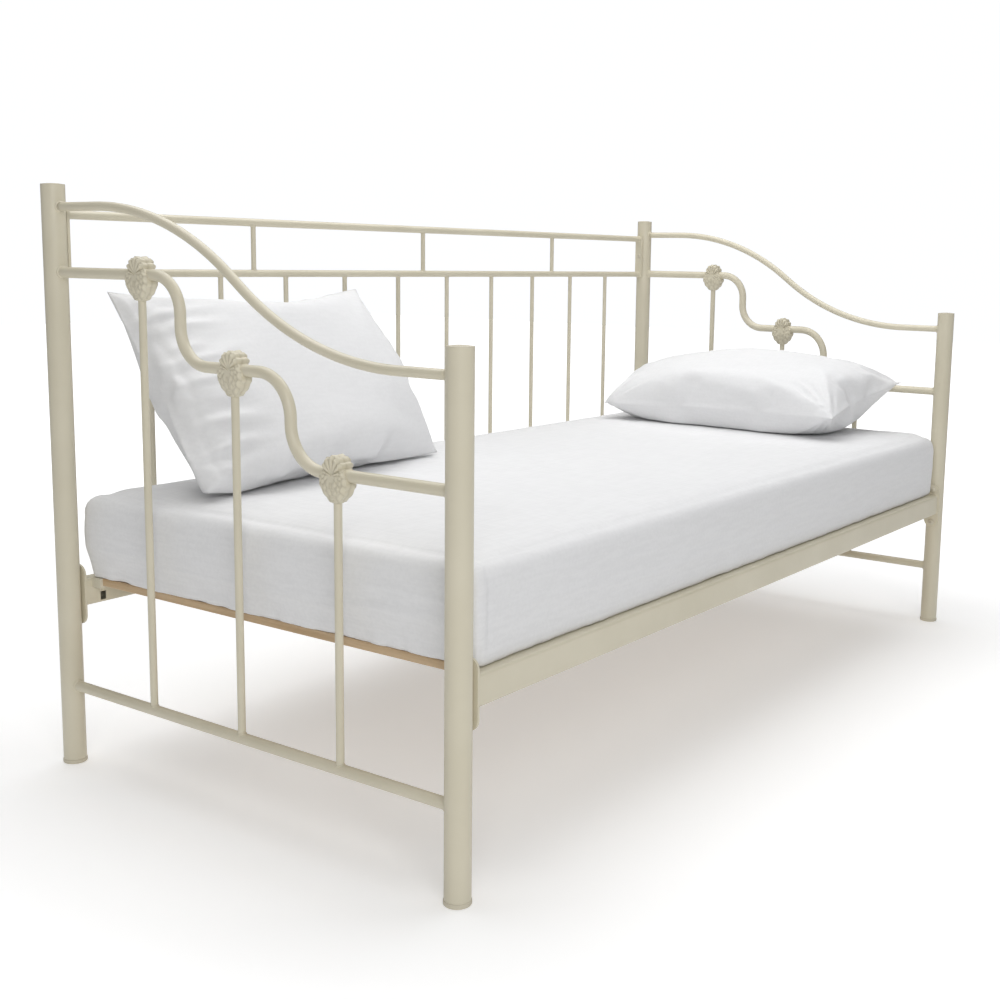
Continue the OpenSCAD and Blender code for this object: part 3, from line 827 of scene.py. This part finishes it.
def mattress_mesh():
    """A stuffed mattress: a box with soft edges that pressure swells, quilted on its two wide faces."""
    rings = mattress_rings(side_step=16 * MM, cap_step=30 * MM, reach_under=HALF_Y - 6 * MM)
    places = lay_rings(rings, steps=(20, 5, 40))[0]
    mesh = mesh_from("mattress", places.reshape(-1, 3), ring_faces(*places.shape[:2], close_end=True))
    mesh = modified(mesh, "REMESH", mode="VOXEL", voxel_size=20 * MM)
    points = coords(mesh)
    settled = simulate(mesh, frames=10, stiffness=25, bending=0.5, force=1.5)
    move = settled - points
    far = np.linalg.norm(move, axis=1, keepdims=True)
    points = points + move * np.minimum(1, SWELL / np.maximum(far, 1e-9))
    points[:, 2] = np.clip(points[:, 2], MATTRESS_LOW.z + 1.4 * MM, MATTRESS_HIGH.z - 2 * MM)
    set_coords(mesh, points)
    mesh = modified(mesh, "SUBSURF", levels=1, render_levels=1)
    points = coords(mesh)
    drawn_in = quilt(points, pitch=0.12, depth=2.6 * MM)
    facing = coords(mesh, "normal")[:, 2]
    points[:, 2] -= drawn_in * np.sign(facing) * smoothstep(np.abs(facing), 0.9, 0.99)
    set_coords(mesh, points)
    smooth(mesh)
    return mesh


def drawn_under(mesh, depth):
    """Moves the mattress's faces in by a small depth, so that it stays under its sheet. Its base stays."""
    points, facing = coords(mesh), coords(mesh, "normal")
    facing[:, 2] = np.maximum(facing[:, 2], 0)
    points -= facing * depth
    set_coords(mesh, points)


def hem_share(z):
    """1 at the sheet's base and 0 above the reach of its elastic hem."""
    return 1 - smoothstep(z, MATTRESS_LOW.z + 12 * MM, MATTRESS_LOW.z + 42 * MM)


def drawn_over(mattress, places, ways):
    """How far the mattress stands out from each place on the rings, evened out as tight cloth is."""
    tree = BVHTree.FromPolygons([v.co.copy() for v in mattress.vertices],
                                [tuple(p.vertices) for p in mattress.polygons])
    rows, count = places.shape[:2]
    gap = np.zeros((rows, count))
    reach = 60 * MM
    for r in range(rows):
        for i in range(count):
            way = Vector(ways[r, i])
            hit = tree.ray_cast(Vector(places[r, i]) + way * reach, -way, 2 * reach)
            gap[r, i] = reach - hit[3] if hit[0] else 0
    wall = 1 - smoothstep(ways[..., 2], 0.1, 0.95)
    gap += wall * (np.maximum(gap, -1 * MM) - gap)          # straight past a hollow in the wall
    for _ in range(10):
        gap = (np.roll(gap, 1, 1) + np.roll(gap, -1, 1) + 2 * gap) / 4
        gap[1:-1] = (gap[:-2] + gap[2:] + 2 * gap[1:-1]) / 4
    return gap


def sheet_folds(places, ways):
    """How far the sheet's slack, creases, seams and gathers stand out from a tight cover."""
    low = MATTRESS_LOW
    x, y, z = (places[..., k] for k in range(3))
    face_x, face_y = (np.abs(ways[..., k]) for k in (0, 1))
    upper = smoothstep(ways[..., 2], 0.5, 0.95)
    side = smoothstep(z, low.z + 10 * MM, low.z + 45 * MM) * (1 - upper)

    loose = 1.4 * noise_at(places, (3.2, 3.2, 9), 1) + 0.6 * noise_at(places, (11, 11, 16), 2)
    fine = noise_at(places, (26, 26, 34), 3)
    folds = (loose + 0.35 * fine) * MM * (0.35 + 0.65 * side)

    rng = random.Random(7)
    far_x, far_y = (-0.9, 0.9), (-0.42, 0.42)      # where creases may lie
    ends = crease_field(y, z, rng, 16, lengths=(0.12, 0.5), widths=(3 * MM, 6 * MM), height=1.5 * MM,
                        slope=0.05, a_range=(-0.4, 0.4), b_range=(low.z + 0.05, low.z + 0.12))
    fronts = crease_field(x, z, rng, 22, lengths=(0.15, 0.6), widths=(5 * MM, 10 * MM), height=0.8 * MM,
                          slope=0.06, a_range=far_x, b_range=(low.z + 0.04, low.z + 0.13))
    tops = crease_field(x, y, rng, 40, lengths=(0.1, 0.45), widths=(5 * MM, 12 * MM), height=0.8 * MM,
                        slope=0.35, a_range=far_x, b_range=far_y)
    folds += side * (ends * face_x ** 4 + fronts * face_y ** 4) + upper * tops

    folds += corner_seams(x, y, z, ways)
    folds += hem_share(z) * gather_noise(x, y) * (1 - 0.55 * face_y)
    return folds + barrel(z, ways)


def raised_hem(places, ways):
    """How far the hem rides up: a little in front, and in scallops at the left end."""
    in_front = 3 + 1.5 * noise_at(places * (1, 0, 0), 17, 9)
    scallops = np.clip(2.5 + 7 * noise_at(places * (0, 1, 0), 24, 8), 0, 8)
    raised = np.maximum(-ways[..., 1], 0) * in_front + np.maximum(-ways[..., 0], 0) * scallops
    return raised * MM * hem_share(places[..., 2]) * (ways[..., 2] > -0.99)


def sheet_mesh(mattress):
    """The fitted sheet: drawn tight over the mattress, seamed at its corners and gathered underneath."""
    rings = mattress_rings(side_step=4 * MM, cap_step=14 * MM, reach_under=HEM)
    places, ways = lay_rings(rings, steps=(75, 12, 150))
    off = drawn_over(mattress, places, ways) + SHEET_GAP + sheet_folds(places, ways)
    surface = places + ways * off[..., None]
    z = surface[..., 2] + raised_hem(places, ways)
    surface[..., 2] = np.clip(z, MATTRESS_LOW.z, MATTRESS_HIGH.z)
    mesh = mesh_from("sheet", surface.reshape(-1, 3), ring_faces(*places.shape[:2], close_end=False))
    return modified(mesh, "SOLIDIFY", thickness=SHEET_T, offset=-1.0, use_even_offset=False)


def barrel(z, ways):
    """How far the stuffed sides stand out between the top edge and the base: most at the left end."""
    height = (z - MATTRESS_LOW.z) / (MATTRESS_HIGH.z - MATTRESS_LOW.z)
    belly = np.maximum(np.sin(math.pi * np.clip(height, 0, 1)), 0) ** 0.6
    left, front = np.maximum(-ways[..., 0], 0), np.maximum(-ways[..., 1], 0)
    back, right = np.maximum(ways[..., 1], 0), np.maximum(ways[..., 0], 0)
    slack = left * (11 + 9 * belly) * (0.3 + 0.7 * smoothstep(height, 0, 0.4))
    slack += front * (5 + 3 * belly) + back * (1 + 3 * belly) - 6 * right
    wall = smoothstep(ways[..., 2], -0.99, -0.8) * (1 - smoothstep(ways[..., 2], 0.6, 1.0))
    return slack * MM * wall


def corner_seams(x, y, z, ways):
    """The upright seam at each corner of the sheet, with short puckers that it pulls beside it."""
    low, high = MATTRESS_LOW, MATTRESS_HIGH
    upright = np.hypot(ways[..., 0], ways[..., 1]) > 0.05
    total = np.zeros_like(x)
    for sx, ex in ((-1, low.x), (1, high.x)):
        for sy, ey in ((-1, low.y), (1, high.y)):
            near = np.exp(-(((x - ex) ** 2 + (y - ey) ** 2) / (0.07 ** 2)))
            turn = np.arctan2(sy * ways[..., 1], sx * ways[..., 0] + 1e-9)
            from_seam = (turn - math.pi / 4) * PLAN_CORNER
            seam = ridge(from_seam, 2.2 * MM) * 1.5 * MM * upright
            pucker = 1.4 * MM * np.sin((z - low.z) / (9 * MM) + 3 * from_seam / PLAN_CORNER)
            pucker *= np.exp(-(from_seam / (16 * MM)) ** 2) * smoothstep(z, high.z - 0.09, high.z - 0.03)
            total += near * (seam + pucker * upright)
    return total


def gather_noise(x, y):
    """The uneven little folds that the elastic hem makes round the bottom edge."""
    flat = np.stack([x, y, np.zeros_like(x)], -1)
    broad, narrow, tight = (noise_at(flat, scale, seed) for scale, seed in ((14, 4), (45, 5), (100, 6)))
    return (2.2 + 2.2 * broad + 1.6 * narrow + 0.8 * tight) * MM


def add_mattress():
    mattress = mattress_mesh()
    body = new_piece("mattress_body", mattress, "mattress_ticking", "mattress", "mattress")
    cover = sheet_mesh(mattress)
    drawn_under(mattress, 3 * MM)
    sheet = new_piece("fitted_sheet_cover", cover, "sheet_cotton", "mattress", "fitted_sheet")
    return max(v.co.z for v in sheet.data.vertices)


# ---------- pillows ----------

PILLOW_W, PILLOW_H = 0.725, 0.465
PILLOW_CELL = 7.5 * MM
PILLOW_VOLUME = 0.0315       # cubic metres
CLEARANCE = 0.6 * MM         # between the sheet and a pillow that lies on it


def pillow_panels(seed):
    """Two cotton panels sewn together round their edge: the mesh, which points are on the seam, the four
    corner points, and each point's row and column."""
    across, along = round(PILLOW_W / PILLOW_CELL), round(PILLOW_H / PILLOW_CELL)
    points, index, cells = [], {}, []
    for side in (1, -1):
        for j in range(along + 1):
            for i in range(across + 1):
                on_seam = i in (0, across) or j in (0, along)
                if on_seam and side < 0:
                    index[side, i, j] = index[1, i, j]
                    continue
                x, y = (i / across - 0.5) * PILLOW_W, (j / along - 0.5) * PILLOW_H
                inside = min(PILLOW_W / 2 - abs(x), PILLOW_H / 2 - abs(y))
                uneven = noise.noise(Vector((9 * x, 9 * y, 11.3 * seed + 3.1 * side)))
                bump = 3 * MM * uneven * min(1, inside / 0.05)
                lift = 12 * MM * min(1, inside / 0.08) ** 0.5
                index[side, i, j] = len(points)
                points.append((x, y, side * lift + bump))
                cells.append((i, j, on_seam))
    faces = []
    for side in (1, -1):
        for j in range(along):
            for i in range(across):
                quad = [index[side, i + di, j + dj] for di, dj in ((0, 0), (1, 0), (1, 1), (0, 1))]
                faces.append(quad if side > 0 else quad[::-1])
    corners = [index[1, i, j] for j in (0, along) for i in (0, across)]
    columns, rows, seam = np.array(cells).T
    return mesh_from("pillow", points, faces), seam.astype(bool), corners, rows, columns


def calm(points, mesh, fixed, passes):
    """Relaxes the smallest crumples and leaves the fixed points where they are."""
    edges = np.zeros(len(mesh.edges) * 2, int)
    mesh.edges.foreach_get("vertices", edges)
    a, b = edges.reshape(-1, 2).T
    degree = np.bincount(np.concatenate([a, b]), minlength=len(points))[:, None]
    for _ in range(passes):
        total = np.zeros_like(points)
        np.add.at(total, a, points[b])
        np.add.at(total, b, points[a])
        points = np.where(fixed[:, None], points, points + 0.5 * (total / degree - points))
    return points


def blend_corners(u, v, values):
    """Bilinear mix of four corner values, given at (-1,-1), (1,-1), (-1,1), (1,1)."""
    return ((1 - u) * (1 - v) * values[0] + (1 + u) * (1 - v) * values[1]
            + (1 - u) * (1 + v) * values[2] + (1 + u) * (1 + v) * values[3]) / 4


def straightened(uvw, rows, columns, shares):
    """Pushes each seam part of the way out to the line between its corners.

    rows and columns tell which cell of the flat panels each point was. shares are for the edges at
    v = -1, v = 1, u = -1 and u = 1."""
    moved = uvw.copy()
    last_row, last_column = rows.max(), columns.max()
    edges = ((1, columns, rows == 0, -1), (1, columns, rows == last_row, 1),
             (0, rows, columns == 0, -1), (0, rows, columns == last_column, 1))
    for share, (axis, along, on_edge, end) in zip(shares, edges):
        seam = np.zeros(along.max() + 1)
        seam[along[on_edge]] = end - uvw[on_edge, axis]
        reach = np.clip((1 + end * uvw[:, axis]) / 2, 0, 1)
        moved[:, axis] += share * seam[along] * reach ** 2
    return moved


def filled_pillow(seed, shares):
    """A stuffed pillow in its own plane: u and v from -1 to 1 between its corners, and w in metres."""
    mesh, seam, corners, rows, columns = pillow_panels(seed)
    points = coords(mesh)
    points = simulate(mesh, frames=24, stiffness=30, bending=1.0, volume=PILLOW_VOLUME)
    points = calm(points, mesh, seam, passes=3)
    points = calm(points, mesh, seam | (points[:, 2] > 0), passes=30)     # the back panel
    reach = np.abs(points[corners]).mean(0)
    uvw = points / (reach[0], reach[1], 1)
    square = np.array([(-1, -1, 0), (1, -1, 0), (-1, 1, 0), (1, 1, 0)])
    uvw = uvw + blend_corners(uvw[:, 0:1], uvw[:, 1:2], square - uvw[corners])
    return mesh, seam, straightened(uvw, rows, columns, shares)


def blunted(uvw, seam, corner, reach, pull, plump):
    """Turns one sharp corner into a soft, rounded pouch."""
    from_tip = np.hypot((uvw[:, 0] - corner[0]) * PILLOW_W / 2, (uvw[:, 1] - corner[1]) * PILLOW_H / 2)
    near = 1 - smoothstep(from_tip, 0, reach)
    uvw[:, 0] -= corner[0] * near * pull / (PILLOW_W / 2)
    uvw[:, 1] -= corner[1] * near * pull / (PILLOW_H / 2)
    uvw[:, 2] += np.sign(uvw[:, 2]) * ~seam * plump * near


def corner_creases(uvw, seam, corner, rng, count, height):
    """Creases that fan out from one corner of the case."""
    in_x = (1 - corner[0] * uvw[:, 0]) * PILLOW_W / 2
    in_y = (1 - corner[1] * uvw[:, 1]) * PILLOW_H / 2
    distance, turn = np.hypot(in_x, in_y), np.arctan2(in_y, in_x)
    creases = crease_field(distance, turn, rng, count, lengths=(0.08, 0.22), widths=(0.035, 0.07),
                           height=height, slope=0.6, a_range=(0.03, 0.12), b_range=(0.15, 1.4))
    uvw[:, 2] += np.sign(uvw[:, 2]) * creases * ~seam


def seat(uvw, corners, plump):
    """Carries a pillow's own u, v, w to its four corners, given at (-1,-1), (1,-1), (-1,1), (1,1)."""
    u, v, w = uvw[:, 0:1], uvw[:, 1:2], uvw[:, 2:3]
    low_left, low_right, high_left, high_right = corners = np.array(corners)
    place = blend_corners(u, v, corners)
    along = (low_right + high_right - low_left - high_left) / 2
    up = (high_left + high_right - low_left - low_right) / 2
    facing = np.cross(along, up)
    return place + facing / np.linalg.norm(facing) * w * plump(u, v)


def rest_on(points, level, softness=4 * MM):
    """Flattens what would sink below a level, with a soft turn where it leaves it."""
    depth = points[:, 2] - level
    points[:, 2] = level + (depth + np.sqrt(depth ** 2 + softness ** 2)) / 2
    return points


def finish_pillow(node, mesh, seam, points):
    """Raises the sewn edge a little, keeps it crisp, and refines the cloth between the seams."""
    outward = points[seam] - points.mean(0)
    outward /= np.linalg.norm(outward, axis=1, keepdims=True)
    points[seam] += outward * 1.5 * MM
    set_coords(mesh, points)
    crease = mesh.attributes.new("crease_edge", "FLOAT", "EDGE")
    crease.data.foreach_set("value", [0.85 * all(seam[v] for v in e.vertices) for e in mesh.edges])
    mesh = modified(mesh, "SUBSURF", levels=1, render_levels=1)
    smooth(mesh)
    pillow = new_piece(f"{node}_cover", mesh, "pillow_cotton", node, node)


def add_left_pillow(top):
    """Stands on its long edge and leans back against the back panel."""
    mesh, seam, uvw = filled_pillow(seed=1, shares=(1.0, 0.1, 0.8, 0.5))
    u, v = uvw[:, 0], uvw[:, 1]
    rng = random.Random(3)
    creases = crease_field(u, v, rng, 16, lengths=(0.4, 0.8), widths=(0.034, 0.05), height=5 * MM,
                           slope=0.16, a_range=(-0.95, -0.7), b_range=(-0.9, 0.7))
    creases += crease_field(u, v, rng, 24, lengths=(0.25, 0.6), widths=(0.024, 0.034), height=4 * MM,
                            slope=0.2, a_range=(-0.95, -0.75), b_range=(-0.9, 0.8))
    uvw[:, 2] += (uvw[:, 2] > 0) * creases * ~seam
    blunted(uvw, seam, (-1, -1), reach=0.085, pull=0.012, plump=20 * MM)
    from_side = (u + 1) * PILLOW_W / 2
    stitched = np.exp(-((from_side - 27 * MM) / (6 * MM)) ** 2) * smoothstep(v, -0.95, -0.8)
    uvw[:, 2] -= (uvw[:, 2] > 0) * ~seam * stitched * 5 * MM       # the closed hem's line of stitches
    corners = ((-0.898, 0.180, top + 4 * MM), (-0.202, 0.249, top + 4 * MM),
               (-0.895, 0.440, 0.865), (-0.255, 0.440, 0.865))
    points = seat(uvw, corners, lambda u, v: 1 - 0.08 * v)
    finish_pillow("pillow_left", mesh, seam, rest_on(points, top + CLEARANCE))


def add_right_pillow(top):
    """Lies flat with its far edge raised against the right end panel."""
    mesh, seam, uvw = filled_pillow(seed=2, shares=(0.6, 0.3, 0.3, 0.4))
    corners = ((0.615, 0.360, 0.550), (0.578, -0.335, 0.566),
               (0.950, 0.385, 0.630), (0.955, -0.360, 0.632))
    rng = random.Random(5)
    for corner, count in (((1, -1), 14), ((-1, -1), 9), ((1, 1), 9)):
        corner_creases(uvw, seam, corner, rng, count, height=7 * MM)
    blunted(uvw, seam, (-1, -1), reach=0.05, pull=0.01, plump=5 * MM)
    points = seat(uvw, corners, lambda u, v: 1.12 + 0.1 * u)
    finish_pillow("pillow_right", mesh, seam, rest_on(points, top + CLEARANCE))


MATERIALS = add_materials()
add_camera()
add_stage()

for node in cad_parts.values():
    material = MATERIALS[slot_of(node.data.materials[0])]
    node.data.materials.clear()
    node.data.materials.append(material)

for end in ENDS:
    add_end_welds(end)
add_back_welds()
add_side_rail_welds()
add_castings()
add_end_top_rails()
sheet_top = add_mattress()
add_left_pillow(sheet_top)
add_right_pillow(sheet_top)
